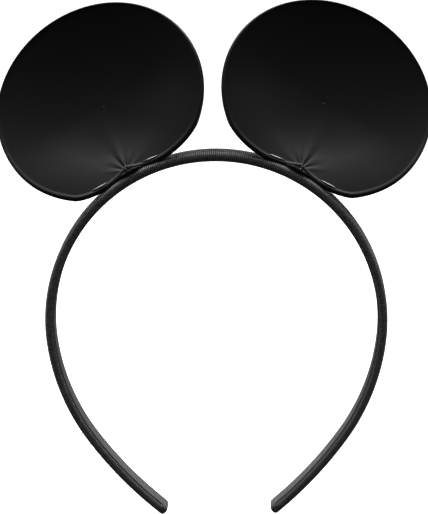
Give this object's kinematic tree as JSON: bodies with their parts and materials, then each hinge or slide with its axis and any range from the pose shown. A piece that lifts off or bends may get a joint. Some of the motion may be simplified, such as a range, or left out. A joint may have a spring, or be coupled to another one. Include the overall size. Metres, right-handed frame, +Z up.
{
  "type": "animal ears headband",
  "caption": "Slim ribbon-wrapped arch headband carrying two round, dished fabric ears that tilt on gathered cloth tails.",
  "frame": {"origin": "middle of the inner face of the hoop's crown, where it rests on top of the head", "axes": "+Z up out of the head, +Y from front to back, +X to the right as seen from the front"},
  "size_m": [0.1604, 0.0272, 0.1888],
  "materials": {
    "core_plastic": "moulded polypropylene, matt black",
    "grosgrain": "black grosgrain ribbon with fine cross ribs",
    "lining": "black grosgrain lining ribbon",
    "satin": "smooth black satin with a soft sheen",
    "foam": "thin dark padding foam",
    "stiffener_plastic": "thin moulded plastic sheet",
    "thread": "black polyester thread",
    "glue": "cloudy hot-melt glue"
  },
  "bodies": {
    "crown": {"band_core_crown": "core_plastic", "ribbon_crown": "grosgrain", "lining_crown": "lining", "foot_patch_left": "satin", "foot_patch_right": "satin", "glue_film_left": "glue", "glue_film_right": "glue"},
    "left_leg": {"band_core_left": "core_plastic", "ribbon_left": "grosgrain", "lining_left": "lining", "tip_fold_left": "grosgrain"},
    "right_leg": {"band_core_right": "core_plastic", "ribbon_right": "grosgrain", "lining_right": "lining", "tip_fold_right": "grosgrain"},
    "left_ear": {"ear_face_left": "satin", "ear_foam_left": "foam", "ear_stiffener_left": "stiffener_plastic", "ear_back_left": "satin", "ear_tail_left": "satin", "ear_stitch_left": "thread"},
    "right_ear": {"ear_face_right": "satin", "ear_foam_right": "foam", "ear_stiffener_right": "stiffener_plastic", "ear_back_right": "satin", "ear_tail_right": "satin", "ear_stitch_right": "thread"}
  },
  "joints": [
    {"name": "left_leg_flex", "type": "hinge", "parent": "crown", "child": "left_leg", "pos_m": [-0.04807, 0, -0.01892], "axis": [0, 1, 0], "range_deg": [-5, 20], "stiffness_Nm_per_rad": 0.6},
    {"name": "right_leg_flex", "type": "hinge", "parent": "crown", "child": "right_leg", "pos_m": [0.04807, 0, -0.01892], "axis": [0, -1, 0], "range_deg": [-5, 20], "stiffness_Nm_per_rad": 0.6},
    {"name": "left_ear_tilt", "type": "hinge", "parent": "crown", "child": "left_ear", "pos_m": [-0.03385, -0.0015, -0.00335], "axis": [0.8554, 0, 0.518], "range_deg": [-20, 25], "stiffness_Nm_per_rad": 0.08},
    {"name": "right_ear_tilt", "type": "hinge", "parent": "crown", "child": "right_ear", "pos_m": [0.03385, -0.0015, -0.00335], "axis": [0.8554, 0, -0.518], "range_deg": [-20, 25], "stiffness_Nm_per_rad": 0.08}
  ]
}
